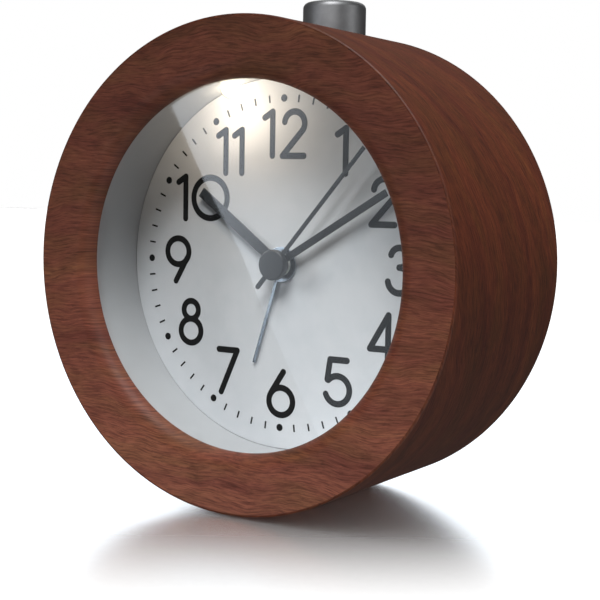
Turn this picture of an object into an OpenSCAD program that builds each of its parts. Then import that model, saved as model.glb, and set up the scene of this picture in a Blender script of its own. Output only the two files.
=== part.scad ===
// Round wooden alarm clock: a turned drum with a deep white dial, a quartz movement with its
// gear train, a snooze button on top and a moulded back with the knobs and the battery bay.
// Frame: +Z up, the dial faces -Y, the origin lies on the table under the middle of the clock.

/* [Case] */
// Outside diameter of the wooden drum
case_d = 111; // [108:0.5:130]
// Depth of the drum from front to back
case_len = 54; // [53:0.1:70]
// Width of the front ring, from the outside of the drum to the opening
ring_w = 13.7; // [12:0.1:14]
// Thickness of the front ring
ring_t = 4.2; // [4:0.1:8]
// Round-over on the inner edge of the front ring
ring_round = 3.6; // [2:0.1:3.8]
// Wall of the drum around its bore
case_wall = 7; // [6:0.5:7.5]
// Small round on the drum's outer edges
edge_round = 0.5; // [0.4:0.1:1.5]

/* [Foot strips] */
// Width of one strip
foot_w = 4; // [3:0.5:8]
// Distance between the middle lines of the two strips
foot_spread = 13; // [12:1:40]
// Length of the strips
foot_len = 30; // [25:1:40]
// Gap from the back of the drum to the strips
foot_back = 2.5; // [1:0.5:8]
// Height by which the strips lift the drum off the table
foot_lift = 0.4; // [0.3:0.1:1.5]

/* [Window and dial] */
// Thickness of the window
lens_t = 2; // [1.5:0.5:3]
// Depth of the dial's face behind the front of the drum
dial_depth = 21.4; // [20:0.2:24]
// How much the white well is wider than the opening, on the radius
well_margin = 1.9; // [1:0.1:2]
// Wall of the white cup
cup_wall = 1.5; // [1.2:0.1:1.7]
// Thickness of the dial
dial_t = 0.5; // [0.4:0.1:1]
// Diameter of the lamp
lamp_d = 5; // [3:0.5:5]
// Depth of the lamp behind the front of the drum
lamp_depth = 18.6; // [15:0.2:19]
// Place of the lamp around the dial, clockwise from twelve
lamp_clock = 342; // [330:1:350]

/* [Hands] */
// Length of the hour hand
hour_len = 28; // [20:0.5:32]
// Width of the hour hand
hour_w = 2.5; // [1.5:0.1:4]
// Length of the minute hand
minute_len = 33.5; // [25:0.5:37]
// Width of the minute hand
minute_w = 1.7; // [1:0.1:3]
// Length of the second hand
second_len = 35.8; // [25:0.5:37]
// Length of the second hand's tail
second_tail = 7.6; // [5:0.2:12]
// Width of the second hand
second_w = 1; // [0.6:0.1:1.6]
// Width of the second hand's tail
second_tail_w = 1.2; // [0.8:0.1:1.6]
// Length of the alarm hand
alarm_len = 24.8; // [15:0.5:30]
// Width of the alarm hand
alarm_w = 0.8; // [0.6:0.1:2]
// Thickness of the hour, minute and alarm hands
hand_t = 0.4; // [0.3:0.05:0.45]
// Air between one hand and the next
hand_gap = 0.55; // [0.3:0.05:0.6]
// Diameter of the cap on the second hand
hub_d = 7.2; // [5.6:0.2:8]
// Thickness of the cap on the second hand
cap_t = 1.35; // [0.8:0.05:1.6]
// Diameter of the bosses of the hour and minute hands
boss_d = 5.2; // [5.2:0.2:7]
// Diameter of the alarm hand's disc
alarm_hub_d = 8.2; // [7.4:0.2:10]

/* [Hands at rest, degrees clockwise from twelve] */
// Angle of the hour hand
hour_clock = 306.4; // [0:0.1:360]
// Angle of the minute hand
minute_clock = 59.1; // [0:0.1:360]
// Angle of the second hand
second_clock = 40.7; // [0:0.1:360]
// Angle of the alarm hand
alarm_clock = 197.1; // [0:0.1:360]

/* [Movement] */
// Thickness of the movement's two plates
plate_t = 1.6; // [1.4:0.1:2]
// Thickness of a thin wheel
wheel_t = 0.9; // [0.7:0.1:1]
// Thickness of the motion wheel and the pinions that it meets
thick_t = 1.2; // [1:0.1:1.3]
// Air between one layer of wheels and the next
layer_gap = 0.5; // [0.4:0.05:0.6]
// Tooth module of the alarm wheels and of the minute wheels
hand_module = 0.4; // [0.4:0.01:0.42]
// Distance from the hand arbor to the third wheel
third_cd = 12.6; // [12.4:0.1:13]
// Distance from the hand arbor to the fifth wheel
fifth_cd = 10.5; // [10.3:0.1:10.8]
// Distance from the fifth wheel to the rotor
rotor_cd = 10.5; // [10.3:0.1:11]
// Radius of the second arbor
arbor_r = 0.6; // [0.5:0.05:0.7]
// Wall of each tube around the second arbor
tube_wall = 0.64; // [0.55:0.02:0.7]
// Radial clearance of a running fit
run_gap = 0.06; // [0.04:0.01:0.1]
// Radius of the setting stems
stem_r = 1.25; // [1:0.05:1.4]
// Angle of the setting stems from twelve, one to each side
stem_clock = 75; // [70:1:80]

/* [Snooze button] */
// Diameter of the button
button_d = 15.4; // [12:0.1:16]
// Height of the button above the top of the drum
button_proud = 7.5; // [5:0.5:12]
// Distance from the middle of the button to the back of the drum
button_back = 10.6; // [10:0.2:16]
// Travel of the button
button_travel = 2; // [1:0.1:2.2]
// Round on the button's top edge
button_round = 1.5; // [0.5:0.1:2]
// Wall of the hollow button
button_wall = 1.4; // [1:0.1:2]
// Radius of the button's stem
button_stem_r = 2; // [1.5:0.1:2.2]

/* [Back] */
// Thickness of the back cover
cover_t = 1.8; // [1.6:0.1:2.4]
// How far the back cover lies inside the drum's back edge
cover_inset = 0.4; // [0.2:0.1:1]
// Width of the step in the drum that carries the cover
seat_w = 3.6; // [3.4:0.1:4.4]
// Diameter of the setting knobs
knob_d = 14; // [11:0.5:15]
// Room around the knobs in their well
knob_room = 2; // [1.6:0.1:3]
// Height of the knobs
knob_h = 6.8; // [5:0.2:7.4]
// Travel of the alarm switch
switch_travel = 4; // [2:0.5:4]
// Diameter of the buzzer
buzzer_d = 20; // [16:1:25]

/* [Battery] */
// Diameter of the cell
cell_d = 14.5; // [14:0.1:14.5]
// Length of the cell with its terminal
cell_len = 50.5; // [49:0.1:50.5]
// Wall of the battery bay
bay_wall = 1.3; // [1:0.1:1.6]

/* [Hidden] */
$fn = 96;
eps = 0.01;

// Fits shared by several pieces
loose_fit = 0.3;
push_fit = 0.02;
lift_gap = 0.2;
seat_gap = 0.1;
touch_gap = 0.05;
// How far a cut runs past the faces that it opens
over = 1;

// Radii from the outside of the drum inwards
case_r = case_d / 2;
open_r = case_r - ring_w;
bore_r = case_r - case_wall;
seat_r = bore_r + seat_w;
well_r = open_r + well_margin;
cup_r = well_r + cup_wall;
flange_r = bore_r - loose_fit;
axis_h = case_r + foot_lift;

// Depths behind the front of the drum
cup_front = ring_t + lens_t;
cup_floor_t = 1.5;
cup_leg_w = 3.2;
cup_leg_in = 0.5;
cup_leg_clocks = [60, 120, 240, 300];
lens_chamfer = 0.35;
cup_floor = dial_depth + dial_t;
plate_front = cup_floor + cup_floor_t;
plate_back = plate_front + plate_t;
cover_out = case_len - cover_inset;
cover_in = cover_out - cover_t;

// Depths of the hands, each measured at its front face
alarm_hand_z = dial_depth - lift_gap - hand_t;
hour_hand_z = alarm_hand_z - hand_gap - hand_t;
minute_hand_z = hour_hand_z - hand_gap - hand_t;
second_t = 0.3;
second_hand_z = minute_hand_z - hand_gap - second_t;
cap_round = 0.45;
hub_r = hub_d / 2;
boss_r = boss_d / 2;

// Concentric tubes round the second arbor: inner and outer radius of each
minute_in = arbor_r + run_gap;
minute_out = minute_in + tube_wall;
hour_in = minute_out + run_gap;
hour_out = hour_in + tube_wall;
alarm_in = hour_out + run_gap;
alarm_out = alarm_in + tube_wall;
bush_in = alarm_out + run_gap;
bush_wall = 1;
bush_out = bush_in + bush_wall;

// Layers of wheels between the plates: front face of each
layer1 = plate_back + layer_gap;
layer2 = layer1 + wheel_t + layer_gap;
layer3 = layer2 + wheel_t + layer_gap;
layer4 = layer3 + thick_t + layer_gap;
layer5 = layer4 + wheel_t + layer_gap;
layer6 = layer5 + wheel_t + layer_gap;
layer7 = layer6 + wheel_t + layer_gap;
rear_front = layer7 + wheel_t + layer_gap;
rear_back = rear_front + plate_t;

// Tooth counts
alarm_n = 40;
alarm_pinion_n = 26;
hour_n = 40;
motion_pinion_n = 10;
motion_n = 36;
cannon_n = 12;
set_pinion_n = 12;
centre_n = 80;
third_pinion_n = 10;
third_n = 75;
second_pinion_n = 10;
second_n = 50;
fifth_pinion_n = 10;
fifth_n = 60;
rotor_pinion_n = 10;

// Distances between arbors and the tooth modules that follow from them
function pair_module(cd, n1, n2) = 2 * cd / (n1 + n2);
motion_cd = hand_module * (cannon_n + motion_n) / 2;
hour_module = pair_module(motion_cd, hour_n, motion_pinion_n);
stem_cd = hand_module * (alarm_n + alarm_pinion_n) / 2;
centre_module = pair_module(third_cd, centre_n, third_pinion_n);
third_module = pair_module(third_cd, third_n, second_pinion_n);
second_module = pair_module(fifth_cd, second_n, fifth_pinion_n);
fifth_module = pair_module(rotor_cd, fifth_n, rotor_pinion_n);

// Places of the arbors: a clock angle and a distance give x to the right and y downwards
function at_clock(r, a) = [r * sin(a), -r * cos(a)];
set_cd = hand_module * (set_pinion_n + motion_n) / 2;
// Angle opposite side c of a triangle with sides a, b and c
function angle_of(a, b, c) = acos((a * a + b * b - c * c) / (2 * a * b));
motion_clock = stem_clock + angle_of(stem_cd, motion_cd, set_cd);
hands_at = [0, 0];
motion_at = at_clock(motion_cd, motion_clock);
time_at = at_clock(stem_cd, stem_clock);
alarm_at_stem = at_clock(stem_cd, -stem_clock);
third_at = at_clock(third_cd, 0);
fifth_clock = 225;
rotor_clock = 270;
fifth_at = at_clock(fifth_cd, fifth_clock);
rotor_at = fifth_at + at_clock(rotor_cd, rotor_clock);
pin_r = 0.6;
post_r = 0.9;

// Tooth form: the share of the pitch that a tooth fills, its height and its depth in modules
tooth_share = 0.43;
tooth_top = 0.85;
tooth_root = 1.2;
pressure = 20;
function inv(a) = tan(a) * 180 / PI - a;
function flank(r, m, n) = let (base = m * n / 2 * cos(pressure))
    tooth_share * 180 / n + inv(pressure) - (r > base ? inv(acos(base / r)) : 0);
function polar(r, a) = [r * cos(a), r * sin(a)];
function tip_r(m, n) = m * (n / 2 + tooth_top);
function root_r(m, n) = m * (n / 2 - tooth_root);
// Phase of a wheel whose gap meets a tooth of its partner, which lies in direction way
function mate(way, phase, n_from, n_to) =
    way + 180 + ((way - phase) * n_from / 360 - 0.5) * 360 / n_to;
function way(from, to) = atan2(to[1] - from[1], to[0] - from[0]);

// Battery bay, as low as the bore allows
cell_gap = 0.25;
contact_t = 0.5;
contact_w = 8;
contact_h = 10;
contact_boss_r = 2;
contact_room = 1.8;
spring_room = 3.4;
bay_half = (cell_len + contact_room + spring_room) / 2;
bay_h = cell_d + 2 * cell_gap;
bay_low = -sqrt(pow(bore_r - loose_fit, 2) - pow(bay_half + bay_wall, 2)) + bay_wall;
bay_mid = bay_low + bay_h / 2;
bay_top = bay_low + bay_h + bay_wall;
door_t = 1;
door_lap = 1.9;
door_play = 0.25;
thumb_r = 6;
thumb_low = 1;
cell_cover_gap = 0.65;
cell_depth = cover_in - cell_cover_gap - cell_d / 2;
bay_floor = cell_depth - cell_d / 2 - cell_gap;
cell_x = bay_half - contact_room;

// Plate outlines: left, right, top and bottom edge, with y downwards
plate_left = -30;
plate_right = 27;
plate_top = -25;
front_bottom = 24.5;
rear_bay_gap = 0.9;
rear_bottom = -bay_top - rear_bay_gap;
plate_corner = 4;
pillar_r = 2.5;
pillars = [[-22, -19], [22, -19], [22, 11], [-26, 3]];
locators = [[0, -23], [24.5, 3], [24, 22], [-20, -4]];
locator_r = 1.2;
screw_r = 0.9;
screw_len = 6;
screw_head_r = 1.9;
screw_head_t = 1;
screw_slot_w = 0.5;
screw_tip_gap = 0.5;

// Motor: the coil lies under the rotor, between the two legs of the stator
stator_t = 1.2;
stator_z = layer3;
coil_r = 3.3;
winding_r = 2.8;
flange_t = 1;
coil_end_gap = 0.5;
magnet_r = 2;
magnet_h = 2.4;
coil_drop = 3.2;
coil_y = rotor_at[1] + magnet_r + coil_r + coil_drop;
pole_gap = 0.5;
pole_r = 4.4;
coil_reach = [8, 9];
coil_left = rotor_at[0] - coil_reach[0];
coil_right = rotor_at[0] + coil_reach[1];
leg_w = 3;
leg_gap = 0.4;
core_t = 1;

// Circuit board
board_t = 1.2;
board_lift = 2;
board_z = plate_back + board_lift;
board_x = [4, 25];
board_y = [14.2, 23.6];
board_mid = [(board_x[0] + board_x[1]) / 2, (board_y[0] + board_y[1]) / 2];
board_post_in = 3;
board_post_r = 1.6;
board_pin_r = 0.8;
board_pin_proud = 0.4;
board_posts = [board_x[0] + board_post_in, board_x[1] - board_post_in];
chip_r = 4;
chip_h = 0.9;
chip_down = 1.6;
can_r = 1;
can_len = 6;
can_in = 1.4;

// Knob well
knob_r = knob_d / 2;
well_floor_t = 1.5;
knob_lift = 0.4;
knob_inset = 0.4;
knob_roof = 2;
knob_z = cover_out - knob_inset - knob_h;
knob_floor = knob_z - knob_lift;
knob_well_r = knob_r + knob_room;
well_waist = 1.2;
rib_n = 24;
rib_r = 0.6;
rib_short = 1;

// Alarm switch, above the knob well
switch_up = 22;
slot_h = 3.4;
tab_w = 3.6;
tab_h = 3;
slot_half = (tab_w + switch_travel) / 2 + loose_fit;
slide_t = 1.1;
slide_lap = 0.5;
slide_half = slot_half + switch_travel / 2 + slide_lap;
slide_h = 6;
housing_wall = 1.3;
housing_half = slide_half + switch_travel / 2 + loose_fit;
housing_deep = 3.8;
tab_proud = 0.3;
tab_groove = 0.4;
tab_pitch = 1.1;
tab_groove_deep = 0.25;

// Buzzer, up and to one side, with slots in the cover behind it
buzzer_r = buzzer_d / 2;
buzzer_h = 5;
buzzer_ring = 1.2;
buzzer_ring_h = 3;
buzzer_hole_r = 1.5;
buzzer_round = 0.8;
sound_w = 1.4;
sound_pitch = 3;
sound_half = 6;
buzzer_at = at_clock(flange_r - buzzer_r - buzzer_ring, -45);

// Snooze button: heights above the axis of the drum
button_r = button_d / 2;
button_y = case_len / 2 - button_back;
button_top = case_r + button_proud;
button_roof = button_top - button_wall;
skirt_deep = 2.6;
button_skirt = case_r - skirt_deep;
button_floor = button_skirt - button_travel - lift_gap;
button_fit = 0.25;
guide_wall = 1.25;
bush_r = button_stem_r + guide_wall;
bush_flange_w = 2.2;
bush_flange_r = button_stem_r + bush_flange_w;
bush_flange_t = 0.7;
bush_proud = 1.1;
bush_low = bore_r - bush_proud;
clip_t = 0.6;
clip_w = 1.6;
clip_r = button_stem_r + clip_w;
stem_tip = 1.1;
stem_low = bush_low - clip_t - stem_tip;
plunger_top = stem_low - button_travel - lift_gap;
plunger_h = 0.7;
plunger_r = 1.6;
switch_h = 3.4;
switch_w = 6;
shelf_top = plunger_top - plunger_h - switch_h;
shelf_t = 1.5;
shelf_half = 5;
spring_wire = 0.35;
spring_clear = 1.5;
spring_r = button_stem_r + spring_clear;

// Springs: wire radius, turns and, for the coned one, the radius at each end
battery_turns = 3;
battery_wire = 0.25;
cone_wide = 4.2;
cone_narrow = 2;
button_turns = 5;

// Cover screws sit on the step of the drum
cover_screw_r = seat_r - seat_w / 2;
cover_screw_shank = 0.8;
cover_screw_head = 1.6;
cover_screw_len = 8;
cover_screw_sunk = 0.1;
cross_w = 0.4;
cross_len = 1.8;
cross_floor = 0.3;
cover_screw_clocks = [45, 135, 225, 315];

// Placing helpers: local z runs from the front of the drum to its back, local y downwards
module at_depth(d) translate([0, d - case_len / 2, axis_h]) rotate([-90, 0, 0]) children();
module clocked(a) rotate([0, 0, a]) children();
module on_button(z) translate([0, button_y, axis_h + z]) children();
module tube(r_in, r_out, h) difference() {
    cylinder(r = r_out, h = h);
    translate([0, 0, -over]) cylinder(r = r_in, h = h + 2 * over);
}
// Waste outside a round of radius r in the corner at the origin
module corner_waste(r) difference() {
    translate([-over, -over]) square(r + over);
    translate([r, r]) circle(r);
}
module round_box(x0, x1, y0, y1, r) {
    translate([x0 + r, y0]) square([x1 - x0 - 2 * r, y1 - y0]);
    translate([x0, y0 + r]) square([x1 - x0, y1 - y0 - 2 * r]);
    for (x = [x0 + r, x1 - r], y = [y0 + r, y1 - r]) translate([x, y]) circle(r);
}
// Toothed wheel with one tooth at angle phase
module wheel(m, n, h, phase) clocked(phase) linear_extrude(h) polygon([
    for (i = [0 : n - 1]) let (a = i * 360 / n)
        each [for (s = [-1, 1], k = (s < 0 ? [0 : 2] : [2 : -1 : 0]))
            let (r = [root_r(m, n), m * n / 2, tip_r(m, n)][k])
            polar(r, a + s * flank(r, m, n))]]);
// Spring: one tube along a cone-shaped helix, 8 rings a turn and 6 sides
function helix(r0, r1, h, turns, wire, t) =
    let (r = r0 + (r1 - r0) * t, a = 360 * turns * t)
    [r * cos(a), r * sin(a), wire + (h - 2 * wire) * t];
function helix_gap(r0, r1, h, turns, wire) = let (n = 8 * turns)
    min([for (i = [0 : n], j = [i + 5 : 1 : n])
        norm(helix(r0, r1, h, turns, wire, i / n) - helix(r0, r1, h, turns, wire, j / n))])
    - 2 * wire;
module coil_spring(r0, r1, h, turns, wire) {
    n = 8 * turns;
    sides = 6;
    rings = [for (i = [0 : n], k = [0 : sides - 1])
        let (c = helix(r0, r1, h, turns, wire, i / n), a = 360 * turns * i / n, b = 60 * k)
        c + wire * [cos(b) * cos(a), cos(b) * sin(a), sin(b)]];
    walls = [for (i = [0 : n - 1], k = [0 : sides - 1])
        let (p = i * sides + k, q = i * sides + (k + 1) % sides)
        each [[p, q, q + sides], [p, q + sides, p + sides]]];
    caps = [for (k = [1 : sides - 2])
        each [[0, k + 1, k], [n * sides, n * sides + k, n * sides + k + 1]]];
    polyhedron(rings, concat(walls, caps));
}

// Turned drum with its ring, bore, rear step, button hole and screw holes
module wood_case() color("#6b3a2a") difference() {
    at_depth(0) rotate_extrude() difference() {
        translate([open_r, 0]) square([case_r - open_r, case_len]);
        translate([0, ring_t]) square([bore_r, case_len]);
        translate([0, cover_in]) square([seat_r, case_len]);
        translate([open_r, 0]) corner_waste(ring_round);
        translate([case_r, 0]) mirror([1, 0]) corner_waste(edge_round);
        translate([case_r, case_len]) mirror([1, 0]) mirror([0, 1]) corner_waste(edge_round);
    }
    on_button(button_floor) cylinder(r = button_r + button_fit, h = case_r);
    on_button(0) cylinder(r = bush_r + push_fit, h = case_r);
    at_depth(cover_in - cover_screw_len) for (a = cover_screw_clocks)
        translate(at_clock(cover_screw_r, a))
            cylinder(r = cover_screw_shank + push_fit, h = 2 * cover_screw_len);
}

// Two low strips under the back half of the drum, hollowed to its curve
module foot_strips() color("#2b2320") difference() {
    for (s = [-1, 1])
        translate([s * foot_spread / 2 - foot_w / 2, case_len / 2 - foot_back - foot_len, 0])
            cube([foot_w, foot_len, case_r / 4]);
    at_depth(0) cylinder(r = case_r, h = case_len, $fn = 360);
}

// Flat window, held between the ring and the cup
module front_lens() color("#dfe8ec", 0.3) at_depth(ring_t) rotate_extrude() difference() {
    square([flange_r, lens_t]);
    for (y = [0, lens_t])
        translate([flange_r, y]) rotate(45) square(lens_chamfer * sqrt(2), center = true);
}

// White cup round the dial: flange against the window, floor behind the dial, four long legs
module dial_cup() color("#f4f4f2") {
    difference() {
        at_depth(0) {
            rotate_extrude() {
                translate([well_r, cup_front]) square([flange_r - well_r, cup_wall]);
                translate([well_r, cup_front]) square([cup_wall, plate_front - cup_front]);
                translate([bush_out + loose_fit, cup_floor])
                    square([cup_r - bush_out - loose_fit - eps, cup_floor_t]);
            }
            for (a = cup_leg_clocks) clocked(a)
                translate([-cup_leg_w / 2, -flange_r + touch_gap, cup_front + cup_wall / 2])
                    cube([cup_leg_w, flange_r - cup_r + cup_leg_in,
                        cover_in - cup_front - cup_wall / 2]);
        }
        at_depth(lamp_depth) clocked(lamp_clock) rotate([90, 0, 0])
            cylinder(r = lamp_d / 2 + push_fit, h = case_r);
    }
    at_depth(plate_front - cup_floor_t / 2) for (p = locators)
        translate(p) cylinder(r = locator_r, h = plate_t + cup_floor_t / 2);
}

// Thin printed dial on the floor of the cup
module dial_plate() color("white") at_depth(dial_depth)
    tube(bush_out + loose_fit, well_r - seat_gap, dial_t);

// Small lamp that looks into the well through the wall of the cup
module dial_lamp() color("#fff0c8") at_depth(lamp_depth) clocked(lamp_clock) rotate([90, 0, 0]) {
    dome = lamp_d / 2;
    dome_in = 0.5;
    body_h = 1.2;
    rim_w = 0.4;
    rim_h = 0.8;
    translate([0, 0, well_r - dome_in]) sphere(dome);
    translate([0, 0, well_r - dome_in]) cylinder(r = dome, h = cup_wall + dome_in + body_h);
    translate([0, 0, cup_r + touch_gap]) cylinder(r = dome + rim_w, h = rim_h);
}

// A hand with its boss, pressed on a tube of radius r
module hand(len, w, disc_r, r, t, clock) clocked(clock) linear_extrude(t) difference() {
    union() {
        circle(disc_r);
        translate([-w / 2, -len]) square([w, len]);
    }
    circle(r + push_fit);
}
module hour_hand() color("#1c1c1e") at_depth(hour_hand_z)
    hand(hour_len, hour_w, boss_r, hour_out, hand_t, hour_clock);
module minute_hand() color("#1c1c1e") at_depth(minute_hand_z)
    hand(minute_len, minute_w, boss_r, minute_out, hand_t, minute_clock);
module alarm_hand() color("#b9bcc0") at_depth(alarm_hand_z)
    hand(alarm_len, alarm_w, alarm_hub_d / 2, alarm_out, hand_t, alarm_clock);

// Second hand with a round-ended tail and a cap that hides the ends of the tubes
module second_hand() color("#1c1c1e") {
    tail_r = second_tail_w / 2;
    at_depth(second_hand_z) clocked(second_clock) linear_extrude(second_t) difference() {
        union() {
            translate([-second_w / 2, -second_len]) square([second_w, second_len]);
            translate([-tail_r, 0]) square([2 * tail_r, second_tail - tail_r]);
            translate([0, second_tail - tail_r]) circle(tail_r);
        }
        circle(hub_r / 2);
    }
    at_depth(second_hand_z - cap_t) rotate_extrude() difference() {
        square([hub_r, cap_t + second_t]);
        translate([0, cap_t / 2]) square([arbor_r + push_fit, cap_t + second_t]);
        translate([hub_r, 0]) mirror([1, 0]) corner_waste(cap_round);
    }
}

// Front plate of the movement: centre bush, pillars and the posts that the wheels turn on
module front_plate() color("#d8d4c8") difference() {
    union() {
        at_depth(plate_front) linear_extrude(plate_t)
            round_box(plate_left, plate_right, plate_top, front_bottom, plate_corner);
        at_depth(dial_depth) cylinder(r = bush_out, h = plate_back - dial_depth);
        at_depth(plate_back - eps) {
            for (p = pillars) translate(p) cylinder(r = pillar_r, h = rear_front - plate_back + eps);
            translate(motion_at) cylinder(r = post_r, h = layer2 - plate_back - lift_gap);
            translate(motion_at) cylinder(r = pin_r, h = layer3 + thick_t - plate_back + lift_gap);
            translate(third_at) cylinder(r = post_r, h = layer4 - plate_back - lift_gap);
            translate(third_at) cylinder(r = pin_r, h = layer5 + wheel_t - plate_back + lift_gap);
            for (x = [coil_left - leg_w / 2, coil_right + leg_w / 2])
                translate([x, coil_y]) cylinder(r = leg_w / 2, h = stator_z - plate_back + eps);
            for (x = board_posts) translate([x, board_mid[1]]) {
                cylinder(r = board_post_r, h = board_lift + eps);
                cylinder(r = board_pin_r, h = board_lift + board_t + board_pin_proud);
            }
        }
    }
    at_depth(dial_depth - over) cylinder(r = bush_in, h = plate_back - dial_depth + 2 * over);
    at_depth(plate_front - over) for (p = locators)
        translate(p) cylinder(r = locator_r + push_fit, h = plate_t + 2 * over);
    at_depth(plate_back - plate_t / 2) {
        for (p = [time_at, alarm_at_stem, rotor_at])
            translate(p) cylinder(r = pin_r + run_gap, h = plate_t);
    }
    at_depth(rear_front - screw_len) for (p = pillars)
        translate(p) cylinder(r = screw_r + push_fit, h = screw_len + over);
}

// Rear plate on the pillars, with the fifth wheel's post and the holes for arbor and stems
module rear_plate() color("#d8d4c8") difference() {
    union() {
        at_depth(rear_front) linear_extrude(plate_t)
            round_box(plate_left, plate_right, plate_top, rear_bottom, plate_corner);
        at_depth(layer7 + wheel_t + lift_gap) translate(fifth_at)
            cylinder(r = post_r, h = layer_gap - lift_gap + eps);
        at_depth(layer6 - lift_gap) translate(fifth_at)
            cylinder(r = pin_r, h = rear_front - layer6 + lift_gap + eps);
    }
    at_depth(rear_front - over) {
        through = plate_t + 2 * over;
        cylinder(r = arbor_r + run_gap, h = through);
        for (p = [time_at, alarm_at_stem]) translate(p) cylinder(r = stem_r + run_gap, h = through);
        for (p = pillars) translate(p) cylinder(r = screw_r + push_fit, h = through);
        translate(rotor_at) cylinder(r = pin_r + run_gap, h = over + plate_t / 2);
    }
}

// Four screws that hold the rear plate on the pillars
module movement_screws() color("silver") at_depth(rear_back) for (p = pillars) translate(p) {
    shank = plate_t + screw_len - screw_tip_gap;
    difference() {
        cylinder(r = screw_head_r, h = screw_head_t);
        translate([-screw_head_r, -screw_slot_w / 2, screw_head_t / 2])
            cube([2 * screw_head_r, screw_slot_w, screw_head_t]);
    }
    translate([0, 0, -shank]) cylinder(r = screw_r, h = shank + eps);
}

// Soft-iron stator: a ring round the rotor and a leg at each end of the coil
module stator() color("#8d9196") at_depth(stator_z) linear_extrude(stator_t) difference() {
    bar_low = coil_y - coil_r - leg_gap;
    union() {
        translate(rotor_at) circle(pole_r);
        translate([coil_left - leg_w, bar_low - leg_w])
            square([coil_right - coil_left + 2 * leg_w, leg_w]);
        for (x = [coil_left - leg_w, coil_right]) translate([x, bar_low - leg_w])
            square([leg_w, coil_y + leg_w / 2 - bar_low + leg_w]);
    }
    translate(rotor_at) circle(magnet_r + pole_gap);
}

// Coil: winding between two flanges on a core that bridges the stator's legs
module drive_coil() color("#b4692f") {
    mid_z = stator_z + stator_t + core_t / 2;
    long = coil_right - coil_left - 2 * coil_end_gap;
    at_depth(mid_z) translate([coil_left + coil_end_gap, coil_y, 0]) rotate([0, 90, 0]) {
        cylinder(r = winding_r, h = long);
        for (x = [0, long - flange_t]) translate([0, 0, x]) cylinder(r = coil_r, h = flange_t);
    }
    at_depth(stator_z + stator_t) translate([coil_left - leg_w, coil_y - leg_w / 2, 0])
        cube([coil_right - coil_left + 2 * leg_w, leg_w, core_t]);
}

// Rotor: a round magnet and a pinion on one arbor
rotor_way = way(fifth_at, rotor_at);
module rotor() color("#5c6066") {
    at_depth(plate_back - plate_t / 2 + lift_gap) translate(rotor_at)
        cylinder(r = pin_r, h = rear_front - plate_back + plate_t - 2 * lift_gap);
    at_depth(stator_z + stator_t / 2 - magnet_h / 2) translate(rotor_at)
        cylinder(r = magnet_r, h = magnet_h);
    at_depth(layer7) translate(rotor_at)
        wheel(fifth_module, rotor_pinion_n, wheel_t, mate(rotor_way, 0, fifth_n, rotor_pinion_n));
}

// Fifth wheel, driven by the rotor, with the pinion that drives the second wheel
fifth_way = way(hands_at, fifth_at);
module fifth_wheel() color("#f0ead6") difference() {
    union() {
        at_depth(layer7) translate(fifth_at) wheel(fifth_module, fifth_n, wheel_t, 0);
        at_depth(layer6) translate(fifth_at)
            wheel(second_module, fifth_pinion_n, layer7 - layer6 + eps,
                mate(fifth_way, 0, second_n, fifth_pinion_n));
    }
    at_depth(layer6 - over) translate(fifth_at)
        cylinder(r = pin_r + run_gap, h = layer7 - layer6 + wheel_t + 2 * over);
}

// Second wheel and its pinion on the long arbor that carries the second hand
third_way = way(hands_at, third_at);
module second_wheel() color("#f0ead6") {
    at_depth(layer6) wheel(second_module, second_n, wheel_t, 0);
    at_depth(layer5) wheel(third_module, second_pinion_n, layer6 - layer5 + eps, third_way);
    at_depth(second_hand_z - cap_t / 2 + push_fit)
        cylinder(r = arbor_r, h = rear_back - second_hand_z + cap_t / 2 - push_fit);
}

// Third wheel with the pinion that drives the centre wheel
module third_wheel() color("#f0ead6") difference() {
    union() {
        at_depth(layer5) translate(third_at)
            wheel(third_module, third_n, wheel_t, mate(third_way, third_way, second_pinion_n, third_n));
        at_depth(layer4) translate(third_at)
            wheel(centre_module, third_pinion_n, layer5 - layer4 + eps,
                mate(third_way, 0, centre_n, third_pinion_n));
    }
    at_depth(layer4 - over) translate(third_at)
        cylinder(r = pin_r + run_gap, h = layer5 - layer4 + wheel_t + 2 * over);
}

// Centre wheel, which slips on the minute tube when the hands are set
module centre_wheel() color("#f0ead6") at_depth(layer4) difference() {
    wheel(centre_module, centre_n, wheel_t, 0);
    translate([0, 0, -over]) cylinder(r = minute_out + run_gap, h = wheel_t + 2 * over);
}

// Minute tube with the cannon pinion
motion_way = way(hands_at, motion_at);
module cannon_pinion() color("#c9a24a") difference() {
    union() {
        at_depth(layer3) wheel(hand_module, cannon_n, thick_t, motion_way);
        at_depth(minute_hand_z - lift_gap)
            cylinder(r = minute_out, h = layer4 + wheel_t - minute_hand_z + 2 * lift_gap);
    }
    at_depth(minute_hand_z - over) cylinder(r = minute_in, h = layer5 - minute_hand_z + 2 * over);
}

// Motion wheel between the cannon pinion and the hour wheel
motion_phase = mate(motion_way, motion_way, cannon_n, motion_n);
module motion_wheel() color("#f0ead6") difference() {
    union() {
        at_depth(layer3) translate(motion_at) wheel(hand_module, motion_n, thick_t, motion_phase);
        at_depth(layer2) translate(motion_at)
            wheel(hour_module, motion_pinion_n, layer3 - layer2 + eps,
                mate(motion_way, 0, hour_n, motion_pinion_n));
    }
    at_depth(layer2 - over) translate(motion_at)
        cylinder(r = pin_r + run_gap, h = layer3 - layer2 + thick_t + 2 * over);
}

// Hour wheel on the tube of the hour hand
module hour_wheel() color("#f0ead6") difference() {
    union() {
        at_depth(layer2) wheel(hour_module, hour_n, wheel_t, 0);
        at_depth(hour_hand_z - lift_gap)
            cylinder(r = hour_out, h = layer2 + wheel_t - hour_hand_z + lift_gap);
    }
    at_depth(hour_hand_z - over) cylinder(r = hour_in, h = layer3 - hour_hand_z + 2 * over);
}

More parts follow.
